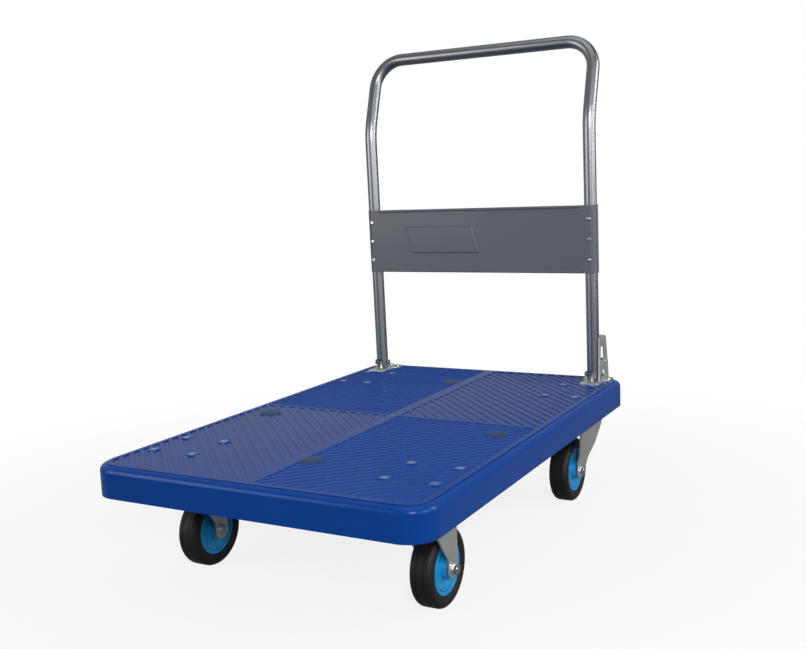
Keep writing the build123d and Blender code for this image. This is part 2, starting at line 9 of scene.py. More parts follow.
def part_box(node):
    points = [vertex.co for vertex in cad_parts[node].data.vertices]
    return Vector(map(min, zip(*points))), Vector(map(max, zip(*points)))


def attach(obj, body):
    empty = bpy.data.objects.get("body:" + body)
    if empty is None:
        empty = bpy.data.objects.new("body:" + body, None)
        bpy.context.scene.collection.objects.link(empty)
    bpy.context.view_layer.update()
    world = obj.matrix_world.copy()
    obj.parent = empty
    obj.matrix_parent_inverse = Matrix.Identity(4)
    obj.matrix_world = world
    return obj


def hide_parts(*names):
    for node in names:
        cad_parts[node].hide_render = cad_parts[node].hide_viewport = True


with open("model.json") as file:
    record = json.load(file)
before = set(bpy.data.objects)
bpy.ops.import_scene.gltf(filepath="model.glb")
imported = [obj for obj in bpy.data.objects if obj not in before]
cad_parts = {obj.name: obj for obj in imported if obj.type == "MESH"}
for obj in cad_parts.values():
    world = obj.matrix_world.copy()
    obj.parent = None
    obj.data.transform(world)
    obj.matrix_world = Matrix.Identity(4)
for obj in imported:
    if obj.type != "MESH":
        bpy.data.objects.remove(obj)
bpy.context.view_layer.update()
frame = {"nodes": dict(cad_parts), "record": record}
mm = 0.001
sides = {"left": -1, "right": 1}
corners = [f"{end}_{side}" for end in ("front", "rear") for side in sides]
print("frame loaded")


# Node trees

def addNode(tree, kind, inputs=None, **settings):
    node = tree.nodes.new(kind)
    for name, value in settings.items():
        setattr(node, name, value)
    for name, value in (inputs or {}).items():
        if isinstance(value, bpy.types.NodeSocket):
            tree.links.new(value, node.inputs[name])
        else:
            node.inputs[name].default_value = value
    return node


def calc(tree, operation, *values):
    node = addNode(tree, "ShaderNodeMath", operation=operation)
    for place, value in enumerate(values):
        if isinstance(value, bpy.types.NodeSocket):
            tree.links.new(value, node.inputs[place])
        else:
            node.inputs[place].default_value = value
    return node.outputs[0]


def newTree(name, kind, inputs, outputs):
    tree = bpy.data.node_groups.new(name, kind)
    for label, socketType, value in inputs:
        socket = tree.interface.new_socket(label, in_out="INPUT", socket_type=socketType)
        if value is not None:
            socket.default_value = value
    for label, socketType in outputs:
        tree.interface.new_socket(label, in_out="OUTPUT", socket_type=socketType)
    return tree, addNode(tree, "NodeGroupInput"), addNode(tree, "NodeGroupOutput")


# Shader groups shared by the finishes

def makeGrain():
    inputs = [("Scale", "NodeSocketFloat", 900.0), ("Colour", "NodeSocketColor", (0.5, 0.5, 0.5, 1)),
              ("Colour Swing", "NodeSocketFloat", 0.1), ("Roughness", "NodeSocketFloat", 0.4),
              ("Roughness Swing", "NodeSocketFloat", 0.1)]
    outputs = [("Colour", "NodeSocketColor"), ("Roughness", "NodeSocketFloat"), ("Height", "NodeSocketFloat")]
    tree, given, result = newTree("fineGrain", "ShaderNodeTree", inputs, outputs)
    place = addNode(tree, "ShaderNodeTexCoord").outputs["Object"]
    fine = addNode(tree, "ShaderNodeTexNoise", {"Vector": place, "Scale": given.outputs["Scale"],
                                                "Detail": 4.0, "Roughness": 0.6})
    broad = addNode(tree, "ShaderNodeTexNoise", {"Vector": place, "Scale": 14.0, "Detail": 3.0})
    drift = calc(tree, "SUBTRACT", broad.outputs[0], 0.5)
    swing = calc(tree, "MULTIPLY_ADD", drift, given.outputs["Colour Swing"], 1.0)
    tint = addNode(tree, "ShaderNodeVectorMath", operation="SCALE")
    tree.links.new(given.outputs["Colour"], tint.inputs[0])
    tree.links.new(swing, tint.inputs["Scale"])
    mixed = calc(tree, "ADD", calc(tree, "MULTIPLY", fine.outputs[0], 0.5),
                 calc(tree, "MULTIPLY", broad.outputs[0], 0.5))
    rough = calc(tree, "MULTIPLY_ADD", calc(tree, "SUBTRACT", mixed, 0.5), given.outputs["Roughness Swing"],
                 given.outputs["Roughness"])
    tree.links.new(tint.outputs[0], result.inputs["Colour"])
    tree.links.new(rough, result.inputs["Roughness"])
    tree.links.new(fine.outputs[0], result.inputs["Height"])
    return tree


def makeScuffs():
    inputs = [("Scale", "NodeSocketFloat", 60.0), ("Amount", "NodeSocketFloat", 0.3), ("Turn", "NodeSocketFloat", 0.4)]
    tree, given, result = newTree("scuffs", "ShaderNodeTree", inputs, [("Mask", "NodeSocketFloat")])
    place = addNode(tree, "ShaderNodeTexCoord").outputs["Object"]
    lean = addNode(tree, "ShaderNodeVectorRotate", {"Vector": place, "Angle": given.outputs["Turn"]},
                   rotation_type="Z_AXIS")
    thin = addNode(tree, "ShaderNodeMapping", {"Vector": lean.outputs[0], "Scale": (1.0, 14.0, 5.0)})
    lines = addNode(tree, "ShaderNodeTexNoise", {"Vector": thin.outputs[0], "Scale": given.outputs["Scale"],
                                                 "Detail": 5.0})
    patches = addNode(tree, "ShaderNodeTexNoise", {"Vector": place, "Scale": 9.0, "Detail": 2.0})
    sharp = addNode(tree, "ShaderNodeMapRange", {"Value": lines.outputs[0], "From Min": 0.62, "From Max": 0.70})
    where = addNode(tree, "ShaderNodeMapRange", {"Value": patches.outputs[0], "From Min": 0.45, "From Max": 0.62})
    mask = calc(tree, "MULTIPLY", calc(tree, "MULTIPLY", sharp.outputs[0], where.outputs[0]), given.outputs["Amount"])
    tree.links.new(mask, result.inputs["Mask"])
    return tree


grain = makeGrain()
scuffs = makeScuffs()


def makeFinish(name, colour, rough, metal=0.0, grainScale=900.0, colourSwing=0.1, roughSwing=0.15, bump=0.02,
               coat=0.0, scuff=0.0, scuffColour=None, specular=0.5, coatRough=0.08):
    material = bpy.data.materials.new(name)
    material.use_nodes = True
    tree = material.node_tree
    shader = tree.nodes["Principled BSDF"]
    shader.inputs["Metallic"].default_value = metal
    shader.inputs["Specular IOR Level"].default_value = specular
    shader.inputs["Coat Weight"].default_value = coat
    shader.inputs["Coat Roughness"].default_value = coatRough
    texture = addNode(tree, "ShaderNodeGroup", node_tree=grain)
    for label, value in (("Scale", grainScale), ("Colour", (*colour, 1)), ("Colour Swing", colourSwing),
                         ("Roughness", rough), ("Roughness Swing", roughSwing)):
        texture.inputs[label].default_value = value
    finalColour, finalRough = texture.outputs["Colour"], texture.outputs["Roughness"]
    if scuff:
        marks = tree.nodes.new("ShaderNodeGroup")
        marks.node_tree = scuffs
        marks.inputs["Amount"].default_value = scuff
        worn = addNode(tree, "ShaderNodeMix", data_type="RGBA")
        tree.links.new(marks.outputs["Mask"], worn.inputs[0])
        tree.links.new(finalColour, worn.inputs[6])  # the colour sockets of a Mix node
        worn.inputs[7].default_value = (*(scuffColour or colour), 1)
        finalColour = worn.outputs[2]
        finalRough = calc(tree, "MULTIPLY_ADD", marks.outputs["Mask"], 0.3, finalRough)  # scuffs are duller
    tree.links.new(finalColour, shader.inputs["Base Color"])
    tree.links.new(finalRough, shader.inputs["Roughness"])
    relief = addNode(tree, "ShaderNodeBump", {"Strength": 1.0, "Distance": bump * mm,
                                              "Height": texture.outputs["Height"]})
    tree.links.new(relief.outputs["Normal"], shader.inputs["Normal"])
    return material


finishes = {
    "deck": makeFinish("deckBluePlastic", (0.002, 0.050, 0.28), 0.25, grainScale=700, colourSwing=0.10,
                       roughSwing=0.12,
                       bump=0.02, scuff=0.05, scuffColour=(0.03, 0.10, 0.36), specular=0.22),
    "pad": makeFinish("padBluePlastic", (0.006, 0.042, 0.14), 0.42, grainScale=600, colourSwing=0.10, bump=0.02,
                      specular=0.3),
    # cap tops and the deck star: a lighter blue than the cap rims, a painted glint standing in for the white highlight
    # on the caps
    "cap": makeFinish("paintedGlintBlue", (0.10, 0.24, 0.66), 0.2, grainScale=900, colourSwing=0.05, coat=1.0,
                      coatRough=0.1),
    "capEdge": makeFinish("capRimPlastic", (0.002, 0.060, 0.34), 0.25, grainScale=900, colourSwing=0.05,
                          specular=0.15),
    "hub": makeFinish("wheelBluePlastic", (0.008, 0.28, 0.62), 0.34, grainScale=800, colourSwing=0.10,
                      bump=0.03, coat=0.1),
    "tyre": makeFinish("blackTyreRubber", (0.0095, 0.0095, 0.012), 0.52, grainScale=500, colourSwing=0.35,
                       roughSwing=0.25,
                       bump=0.10, specular=0.35, scuff=0.5, scuffColour=(0.035, 0.034, 0.033)),
    "zinc": makeFinish("brightZincSteel", (0.62, 0.63, 0.63), 0.42, metal=0.8, grainScale=260, colourSwing=0.18,
                       roughSwing=0.30, bump=0.03, scuff=0.2, scuffColour=(0.32, 0.32, 0.32)),
    "bolt": makeFinish("platedFasteners", (0.68, 0.68, 0.67), 0.22, metal=1.0, grainScale=500,
                       colourSwing=0.08, bump=0.015),
    "tube": makeFinish("satinTubeChrome", (0.33, 0.345, 0.37), 0.36, metal=1.0, grainScale=120, colourSwing=0.02,
                       roughSwing=0.0, bump=0.0),
    "panel": makeFinish("slatePanelEnamel", (0.118, 0.128, 0.150), 0.40, grainScale=420, colourSwing=0.05,
                        roughSwing=0.10,
                        bump=0.05, coat=0.08, scuff=0.10, scuffColour=(0.18, 0.19, 0.21)),
    "dark": makeFinish("blackNylon", (0.012, 0.012, 0.013), 0.5, grainScale=600, bump=0.03),
    "spring": makeFinish("springSteel", (0.25, 0.24, 0.23), 0.35, metal=1.0, grainScale=300, bump=0.02),
}
print("finishes made")


# Mesh work

def setMaterial(obj, material):
    obj.data.materials.clear()
    obj.data.materials.append(material)
    return obj


def newObject(name, mesh, material):
    obj = bpy.data.objects.new(name, mesh)
    bpy.context.collection.objects.link(obj)
    return setMaterial(obj, material)


def meshFrom(name, verts, faces, outward=False):
    mesh = bpy.data.meshes.new(name)
    mesh.from_pydata(verts, [], faces)
    if outward:
        bm = bmesh.new()
        bm.from_mesh(mesh)
        bmesh.ops.recalc_face_normals(bm, faces=bm.faces)
        bm.to_mesh(mesh)
        bm.free()
    return mesh


def smoothed(mesh, degrees=35):
    for poly in mesh.polygons:
        poly.use_smooth = True
    bm = bmesh.new()
    bm.from_mesh(mesh)
    limit = math.radians(degrees)
    for edge in bm.edges:
        edge.smooth = len(edge.link_faces) == 2 and edge.calc_face_angle(0.0) < limit
    bm.to_mesh(mesh)
    bm.free()
    return mesh


def baked(obj):
    graph = bpy.context.evaluated_depsgraph_get()
    mesh = bpy.data.meshes.new_from_object(obj.evaluated_get(graph))
    obj.modifiers.clear()
    obj.data = mesh
    return obj


def lathe(name, profile, centre, material, steps=112, degrees=35):
    verts, faces = [], []
    count = len(profile)
    for i in range(steps):
        turn = 2 * math.pi * i / steps
        for radius, offset in profile:
            verts.append((centre[0] + radius * mm * math.cos(turn), centre[1] + offset * mm,
                          centre[2] + radius * mm * math.sin(turn)))
    for i in range(steps):
        a, b = i * count, (i + 1) % steps * count
        faces += [(a + j, b + j, b + (j + 1) % count, a + (j + 1) % count) for j in range(count)]
    return newObject(name, smoothed(meshFrom(name, verts, faces, outward=True), degrees), material)


def arcPoints(centre, radius, start, end, steps):
    turns = [math.radians(start + (end - start) * i / steps) for i in range(steps + 1)]
    return [(centre[0] + radius * math.cos(t), centre[1] + radius * math.sin(t)) for t in turns]


def softEdged(node, name, width, material, body, segments=2):
    source = frame["nodes"][node].data
    bm = bmesh.new()
    bm.from_mesh(source)
    bmesh.ops.remove_doubles(bm, verts=bm.verts, dist=2e-6)
    bmesh.ops.dissolve_limit(bm, angle_limit=math.radians(1.0), verts=bm.verts, edges=bm.edges, delimit={"NORMAL"})
    mesh = bpy.data.meshes.new(name)
    bm.to_mesh(mesh)
    bm.free()
    piece = newObject(name, mesh, material)
    rounding = piece.modifiers.new("rounding", "BEVEL")
    rounding.width = width * mm
    rounding.segments = segments
    rounding.limit_method = "ANGLE"
    rounding.angle_limit = math.radians(40)
    rounding.use_clamp_overlap = True
    baked(piece)
    smoothed(piece.data, 30)
    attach(piece, body)
    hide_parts(node)
    return piece


def bodyOf(node):
    return next(body for body, nodes in frame["record"]["behaviour"]["bodies"].items() if node in nodes)


def grown(name, tree, values, material, body):
    piece = newObject(name, bpy.data.meshes.new(name), material)
    growth = piece.modifiers.new("growth", "NODES")
    growth.node_group = tree
    labels = {item.name: item.identifier for item in tree.interface.items_tree if item.item_type == "SOCKET"}
    for label, value in {**values, "Material": material}.items():
        growth[labels[label]] = value
    baked(piece)
    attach(piece, body)
    return piece


# Deck: the anti-slip ribs stand in four mirrored quarters round a smooth cross

deckSizes = {
    "pitch": 16.5, "ribHalf": 5.0, "ribHeight": 3.2, "ribLevel": -1.1, "border": 19.0, "cornerCut": 15.0,
    "bandX": 4.0, "bandY": 12.0, "bandRise": 2.0, "bandEdge": 0.6, "bandDeep": 0.5, "longLower": 0.1,
    "crossLower": 0.2, "rimGap": 11.0, "rimWide": 8.0, "rimCorner": 35.0,
    "pads": ((62, 232), (62, -232), (307, 27), (-307, -30)), "padRadius": 20.0, "padRise": 2.2, "padEdge": 1.2,
    "padDeep": 1.0, "starReach": 15.0, "starWaist": 5.0, "starRim": 0.9, "starRise": 2.6,
    "capRise": 0.7, "capInset": 2.2, "capStep": 0.3}
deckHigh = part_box("deck")[1]
deckFace = deckHigh.z - 0.5 * mm  # the rim, just under the raised load bed


def ribTree():
    inputs = [("Geometry", "NodeSocketGeometry", None), ("Half Length", "NodeSocketFloat", 0.4),
              ("Half Width", "NodeSocketFloat", 0.25), ("Band X", "NodeSocketFloat", 0.004),
              ("Band Y", "NodeSocketFloat", 0.012), ("Pitch", "NodeSocketFloat", 0.01),
              ("Corner Cut", "NodeSocketFloat", 0.015), ("Rib Half", "NodeSocketFloat", 0.0027),
              ("Rib Height", "NodeSocketFloat", 0.001), ("Level", "NodeSocketFloat", 0.2),
              ("Material", "NodeSocketMaterial", None)]
    tree, given, result = newTree("deckRibs", "GeometryNodeTree", inputs, [("Geometry", "NodeSocketGeometry")])
    put = given.outputs
    spanX = calc(tree, "SUBTRACT", put["Half Length"], put["Band X"])
    spanY = calc(tree, "SUBTRACT", put["Half Width"], put["Band Y"])
    step = calc(tree, "MULTIPLY", put["Pitch"], math.sqrt(2))
    reach = calc(tree, "SUBTRACT", calc(tree, "ADD", spanX, spanY), put["Corner Cut"])
    each = calc(tree, "FLOOR", calc(tree, "DIVIDE", reach, step))
    total = calc(tree, "MULTIPLY", each, 4.0)
    index = addNode(tree, "GeometryNodeInputIndex").outputs[0]
    quarter = calc(tree, "FLOOR", calc(tree, "DIVIDE", calc(tree, "ADD", index, 0.5), each))
    number = calc(tree, "SUBTRACT", index, calc(tree, "MULTIPLY", quarter, each))
    signX = calc(tree, "SUBTRACT", calc(tree, "MULTIPLY", calc(tree, "MODULO", quarter, 2.0), 2.0), 1.0)
    row = calc(tree, "FLOOR", calc(tree, "DIVIDE", quarter, 2.0))
    signY = calc(tree, "SUBTRACT", calc(tree, "MULTIPLY", row, 2.0), 1.0)
    across = calc(tree, "MULTIPLY", calc(tree, "ADD", number, 0.6), step)
    startX = calc(tree, "MAXIMUM", calc(tree, "SUBTRACT", across, spanY), 0.0)
    endX = calc(tree, "MINIMUM", across, spanX)
    middleX = calc(tree, "MULTIPLY", calc(tree, "ADD", startX, endX), 0.5)
    middleY = calc(tree, "SUBTRACT", across, middleX)
    placeX = calc(tree, "MULTIPLY", calc(tree, "ADD", middleX, put["Band X"]), signX)
    placeY = calc(tree, "MULTIPLY", calc(tree, "ADD", middleY, put["Band Y"]), signY)
    clear = calc(tree, "MULTIPLY", calc(tree, "SUBTRACT", endX, startX), math.sqrt(2))
    length = calc(tree, "MULTIPLY_ADD", put["Rib Half"], 2.0, clear)  # the ends run under the bands
    turn = calc(tree, "MULTIPLY", calc(tree, "MULTIPLY", signX, signY), -math.pi / 4)
    place = addNode(tree, "ShaderNodeCombineXYZ", {0: placeX, 1: placeY, 2: put["Level"]})
    turning = addNode(tree, "ShaderNodeCombineXYZ", {2: turn})
    sizing = addNode(tree, "ShaderNodeCombineXYZ", {0: length, 1: 1.0, 2: 1.0})
    points = addNode(tree, "GeometryNodePoints", {"Count": total, "Position": place.outputs[0]})
    line = addNode(tree, "GeometryNodeCurvePrimitiveLine", {"Start": (-0.5, 0, 0), "End": (0.5, 0, 0)})
    ring = addNode(tree, "GeometryNodeCurvePrimitiveCircle", {"Resolution": 12, "Radius": 1.0})
    oval = addNode(tree, "ShaderNodeCombineXYZ", {0: put["Rib Half"], 1: put["Rib Height"], 2: 1.0})
    shape = addNode(tree, "GeometryNodeTransform", {"Geometry": ring.outputs[0], "Scale": oval.outputs[0]})
    bar = addNode(tree, "GeometryNodeCurveToMesh", {"Curve": line.outputs[0], "Profile Curve": shape.outputs[0],
                                                    "Fill Caps": True})
    ribs = addNode(tree, "GeometryNodeInstanceOnPoints", {"Points": points.outputs[0], "Instance": bar.outputs[0],
                                                          "Rotation": turning.outputs[0], "Scale": sizing.outputs[0]})
    whole = addNode(tree, "GeometryNodeRealizeInstances", {"Geometry": ribs.outputs[0]})
    painted = addNode(tree, "GeometryNodeSetMaterial", {"Geometry": whole.outputs[0], "Material": put["Material"]})
    tree.links.new(painted.outputs[0], result.inputs[0])
    return tree


def disc(name, radius, rise, edge, deep, place, material, steps=56):
    verts, faces = [], []
    rings = [(radius, -deep), (radius, rise - edge)]
    rings += [(radius - edge + x, rise - edge + y) for x, y in arcPoints((0, 0), edge, 0, 90, 4)[1:]]
    for ringRadius, level in rings:
        verts += [((place[0] + ringRadius * math.cos(2 * math.pi * i / steps)) * mm,
                   (place[1] + ringRadius * math.sin(2 * math.pi * i / steps)) * mm, deckFace + level * mm)
                  for i in range(steps)]
    for ring in range(len(rings) - 1):
        for i in range(steps):
            j = (i + 1) % steps
            faces.append((ring * steps + i, ring * steps + j, (ring + 1) * steps + j, (ring + 1) * steps + i))
    faces.append(tuple(range(steps - 1, -1, -1)))
    faces.append(tuple((len(rings) - 1) * steps + i for i in range(steps)))
    return newObject(name, smoothed(meshFrom(name, verts, faces), 30), material)


def star(name, d, material):
    points = []
    for i in range(8):
        reach = d["starWaist"] if i % 2 else d["starReach"]
        turn = math.pi * i / 4
        points.append((reach * math.cos(turn) * mm, reach * math.sin(turn) * mm))
    verts = [(x, y, deckFace) for x, y in points] + [(x, y, deckFace + d["starRim"] * mm) for x, y in points]
    verts += [(0, 0, deckFace + d["starRise"] * mm)]
    faces = [tuple(range(7, -1, -1))]
    for i in range(8):
        j = (i + 1) % 8
        faces += [(i, j, j + 8, i + 8), (i + 8, j + 8, 16)]
    return newObject(name, meshFrom(name, verts, faces), material)


def movedIn(points, distance):
    return [(x - math.copysign(distance, x), y - math.copysign(distance, y)) for x, y in points]


def band(name, outline, inner, rise, d, material):
    low, high, edge = deckFace - d["bandDeep"] * mm, deckFace + rise * mm, d["bandEdge"] * mm
    rings = [(outline, low), (outline, high - edge), (movedIn(outline, edge), high)]
    if inner:
        rings += [(movedIn(inner, -edge), high), (inner, high - edge), (inner, low)]
    count = len(outline)
    verts = [(x, y, z) for points, z in rings for x, y in points]
    faces = []
    for ring in range(len(rings) if inner else len(rings) - 1):
        here, there = ring * count, (ring + 1) % len(rings) * count
        faces += [(here + i, here + (i + 1) % count, there + (i + 1) % count, there + i) for i in range(count)]
    if not inner:
        faces += [tuple(reversed(range(count))), tuple(range(len(verts) - count, len(verts)))]
    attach(newObject(name, meshFrom(name, verts, faces, outward=True), material), "platform")


def roundedBox(halfX, halfY, radius):
    points = []
    for signX, signY, start in ((1, 1, 0), (-1, 1, 90), (-1, -1, 180), (1, -1, 270)):
        centre = (signX * (halfX - radius), signY * (halfY - radius))
        points += arcPoints(centre, radius, start, start + 90, 10)
    return [(x * mm, y * mm) for x, y in points]


def makeBands(d):
    halfX, halfY = deckHigh.x / mm - d["rimGap"], deckHigh.y / mm - d["rimGap"]
    wide, bend = d["rimWide"], d["rimCorner"]
    band("deckRim", roundedBox(halfX, halfY, bend), roundedBox(halfX - wide, halfY - wide, bend - wide),
         d["bandRise"], d, finishes["deck"])
    strips = (("longBand", halfX - wide / 2, d["bandY"], d["longLower"]),
              ("crossBand", d["bandX"], halfY - wide / 2, d["crossLower"]))
    for name, x, y, lower in strips:  # each a little lower than the one it runs into
        outline = [(x * mm, y * mm), (-x * mm, y * mm), (-x * mm, -y * mm), (x * mm, -y * mm)]
        band(name, outline, None, d["bandRise"] - lower, d, finishes["deck"])


def makeCaps(d):
    mesh = smoothed(frame["nodes"]["bolt_caps"].data.copy(), 30)
    top = max(vert.co.z for vert in mesh.vertices)
    for vert in mesh.vertices:
        if vert.co.z > top - 1.0 * mm:  # the rounded top edge and all above it
            vert.co.z += d["capRise"] * mm
    caps = newObject("capTops", mesh, finishes["capEdge"])
    mesh.materials.append(finishes["cap"])
    bm = bmesh.new()
    bm.from_mesh(mesh)
    bmesh.ops.remove_doubles(bm, verts=bm.verts, dist=1e-6)
    high = max(vert.co.z for vert in bm.verts)
    tops = [face for face in bm.faces if min(vert.co.z for vert in face.verts) > high - 0.01 * mm]
    bmesh.ops.inset_region(bm, faces=tops, thickness=d["capInset"] * mm, use_boundary=True, use_even_offset=True)
    # the inset cap tops take the lighter blue finish: a painted glint, lighter than the rims
    for face in tops:
        face.material_index = 1
    for vert in {vert for face in tops for vert in face.verts}:
        vert.co.z += d["capStep"] * mm
    bm.to_mesh(mesh)
    bm.free()
    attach(caps, "platform")
    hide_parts("bolt_caps")


def makeDeck():
    d = deckSizes
    values = {"Half Length": deckHigh.x - d["border"] * mm, "Half Width": deckHigh.y - d["border"] * mm,
              "Band X": d["bandX"] * mm, "Band Y": d["bandY"] * mm, "Pitch": d["pitch"] * mm,
              "Corner Cut": d["cornerCut"] * mm, "Rib Half": d["ribHalf"] * mm, "Rib Height": d["ribHeight"] * mm,
              "Level": deckFace + d["ribLevel"] * mm}
    ribs = grown("deckRibs", ribTree(), values, finishes["deck"], "platform")
    smoothed(ribs.data, 50)
    for x, y in d["pads"]:
        pad = disc("deckPad", d["padRadius"], d["padRise"], d["padEdge"], d["padDeep"], (x, y), finishes["pad"])
        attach(pad, "platform")
    makeBands(d)
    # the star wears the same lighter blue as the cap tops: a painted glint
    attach(star("deckStar", d, finishes["cap"]), "platform")
    makeCaps(d)
    for node in ("deck", "deck_ribs"):
        setMaterial(frame["nodes"][node], finishes["deck"])


makeDeck()
print("deck made")


# Wheels

wheelSizes = {"radius": 62.5, "half": 19.0, "shoulder": 9.0, "bead": 43.0, "grooveAt": 6.5, "grooveDeep": 0.9,
              "grooveHalf": 0.9, "flange": 41.0, "lip": 36.5, "dishDeep": 4.5, "boss": 17.0}


def tyreProfile(w):
    r, h, s = w["radius"], w["half"], w["shoulder"]
    place, g, d = w["grooveAt"], w["grooveHalf"], w["grooveDeep"]
    half = [(r, 0.0), (r, place - g), (r - d, place - g * 0.4), (r - d, place + g * 0.4), (r, place + g)]
    half += arcPoints((r - s, h - s), s, 0, 80, 10)
    half += [(r - s - 2.5, h), (w["bead"] + 6, h - 0.5), (w["bead"] + 5, h - 1.2), (w["bead"] + 1.5, h - 1.8),
             (w["bead"] - 0.4, h - 3.0)]
    return [(a, -b) for a, b in reversed(half[1:])] + half


def hubProfile(w):
    h = w["half"] - 3.0
    half = [(w["bead"], h - 1.0), (w["bead"] - 0.8, h), (w["flange"] - 1.2, h + 0.2), (w["lip"] + 1.2, h),
            (w["lip"] + 0.6, h - 0.5), (w["lip"] + 0.3, h - 2.2), (w["lip"] - 0.3, h - 2.4), (w["lip"] - 1.0, h - 0.6),
            (w["lip"] - 2.5, h - 0.5), (30, h - 1.5), (25, h - w["dishDeep"] + 1), (22, h - w["dishDeep"]),
            (w["boss"] + 2.5, h - w["dishDeep"]), (w["boss"] + 1, h - w["dishDeep"] + 1), (w["boss"] + 0.2, h),
            (w["boss"] - 0.4, 20.6), (w["boss"] - 1.2, 21.0), (14.0, 21.0), (14.0, 13.0), (8.0, 13.0)]
    return half + [(a, -b) for a, b in reversed(half)]


def makeWheels():
    for corner in corners:
        low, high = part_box(f"{corner}_tyre")
        centre = (low + high) / 2
        tyre = lathe(f"{corner}Tyre", tyreProfile(wheelSizes), centre, finishes["tyre"])
        hub = lathe(f"{corner}Hub", hubProfile(wheelSizes), centre, finishes["hub"])
        for piece, node in ((tyre, f"{corner}_tyre"), (hub, f"{corner}_hub")):
            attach(piece, bodyOf(node))
            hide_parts(node)


makeWheels()
print("wheels made")


# Handle: the tube is swept along its bends, upright, then leaned about its pivots

handleSizes = {"pivotX": -398.0, "pivotZ": 232.9, "postY": 250.0, "radius": 12.7, "lean": 1.05,
               "bendZ": 752.0, "bendAngle": 18.2, "bendRadius": 160.0, "barZ": 905.0, "cornerRadius": 60.0,
               "footZ": 244.0, "steps": 56, "panelThick": 1.2, "embossEdge": 1.8, "embossRise": 2.6,
               "emboss": ((-164, 541), (-8, 541), (7.5, 486.5), (-148.5, 486.5))}


def leanedPlace(x, y, z):
    h = handleSizes
    turn = math.radians(h["lean"])
    dx, dz = x - h["pivotX"], z - h["pivotZ"]
    return Vector(((h["pivotX"] + dx * math.cos(turn) + dz * math.sin(turn)) * mm, y * mm,
                   (h["pivotZ"] - dx * math.sin(turn) + dz * math.cos(turn)) * mm))


def roundedPath(points, radii, steps=14):
    path = [Vector(points[0])]
    for before, corner, after, radius in zip(points, points[1:], points[2:], radii):
        corner = Vector(corner)
        back, ahead = (Vector(before) - corner).normalized(), (Vector(after) - corner).normalized()
        half = back.angle(ahead) / 2
        centre = corner + (back + ahead).normalized() * radius / math.sin(half)
        first = corner + back * radius / math.tan(half) - centre
        last = corner + ahead * radius / math.tan(half) - centre
        sweep = first.angle(last)
        for i in range(steps + 1):
            part = i / steps
            arc = first * math.sin((1 - part) * sweep) + last * math.sin(part * sweep)
            path.append(centre + arc / math.sin(sweep))
    return path + [Vector(points[-1])]


def tubeFeet(cutHeight):
    feet = bmesh.new()
    feet.from_mesh(frame["nodes"]["handle_tube"].data)
    bmesh.ops.remove_doubles(feet, verts=feet.verts, dist=2e-6)
    cut = bmesh.ops.bisect_plane(feet, geom=feet.verts[:] + feet.edges[:] + feet.faces[:], dist=1e-6,
                                 plane_co=(0, 0, cutHeight), plane_no=(0, 0, 1), clear_outer=True)
    rims = [item for item in cut["geom_cut"] if isinstance(item, bmesh.types.BMEdge)]
    bmesh.ops.triangle_fill(feet, use_beauty=True, use_dissolve=False, edges=rims)
    bmesh.ops.recalc_face_normals(feet, faces=feet.faces)
    mesh = bpy.data.meshes.new("tubeFeet")
    feet.to_mesh(mesh)
    feet.free()
    return mesh


def makeTube():
    h = handleSizes
    back = (h["barZ"] - h["bendZ"]) * math.tan(math.radians(h["bendAngle"]))
    side = [(h["pivotX"], h["footZ"]), (h["pivotX"], h["bendZ"]), (h["pivotX"] - back, h["barZ"])]
    bends = [(x, -h["postY"], z) for x, z in side] + [(x, h["postY"], z) for x, z in reversed(side)]
    path = roundedPath(bends, [h["bendRadius"], h["cornerRadius"], h["cornerRadius"], h["bendRadius"]])
    steps, last = h["steps"], len(path) - 1
    verts, faces = [], []
    across = Vector((1, 0, 0))
    for i, point in enumerate(path):
        along = (path[min(i + 1, last)] - path[max(i - 1, 0)]).normalized()
        across = (across - along * across.dot(along)).normalized()  # carried along, so that the skin never twists
        other = along.cross(across)
        for k in range(steps):
            turn = 2 * math.pi * k / steps
            spot = point + (across * math.cos(turn) + other * math.sin(turn)) * h["radius"]
            verts.append(leanedPlace(*spot))
    for i in range(last):
        here, there = i * steps, (i + 1) * steps
        faces += [(here + k, here + (k + 1) % steps, there + (k + 1) % steps, there + k) for k in range(steps)]
    faces += [tuple(range(steps - 1, -1, -1)), tuple(last * steps + k for k in range(steps))]
    mesh = meshFrom("tubeSkin", verts, faces, outward=True)
    bm = bmesh.new()
    bm.from_mesh(mesh)
    bm.from_mesh(tubeFeet(h["footZ"] * mm))
    bm.to_mesh(mesh)
    bm.free()
    tube = newObject("tubeSkin", smoothed(mesh, 40), finishes["tube"])
    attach(tube, "handle")
    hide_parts("handle_tube")


def makeEmboss():
    h = handleSizes
    face = h["pivotX"] + h["radius"] + h["panelThick"]
    middle = Vector((sum(y for y, z in h["emboss"]) / 4, sum(z for y, z in h["emboss"]) / 4))
    rings = ((1.6, -0.4), (1.4, 0.2), (1.4 - h["embossEdge"], h["embossRise"]),
             (0.7 - h["embossEdge"], h["embossRise"] + 0.15))  # growth and rise of each ring
    verts = []
    for grow, rise in rings:
        for y, z in h["emboss"]:
            spot = Vector((y, z))
            spot += Vector((grow if spot.x > middle.x else -grow, grow if spot.y > middle.y else -grow))
            verts.append(leanedPlace(face + rise, spot.x, spot.y))
    faces = [(0, 1, 2, 3), tuple(reversed(range(12, 16)))]
    for ring in (0, 4, 8):
        faces += [(ring + (i + 1) % 4, ring + i, ring + 4 + i, ring + 4 + (i + 1) % 4) for i in range(4)]
    mesh = meshFrom("panelEmboss", verts, faces, outward=True)
    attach(newObject("panelEmboss", mesh, finishes["panel"]), "handle")


makeTube()
makeEmboss()
print("handle made")


# The other carried-over pieces

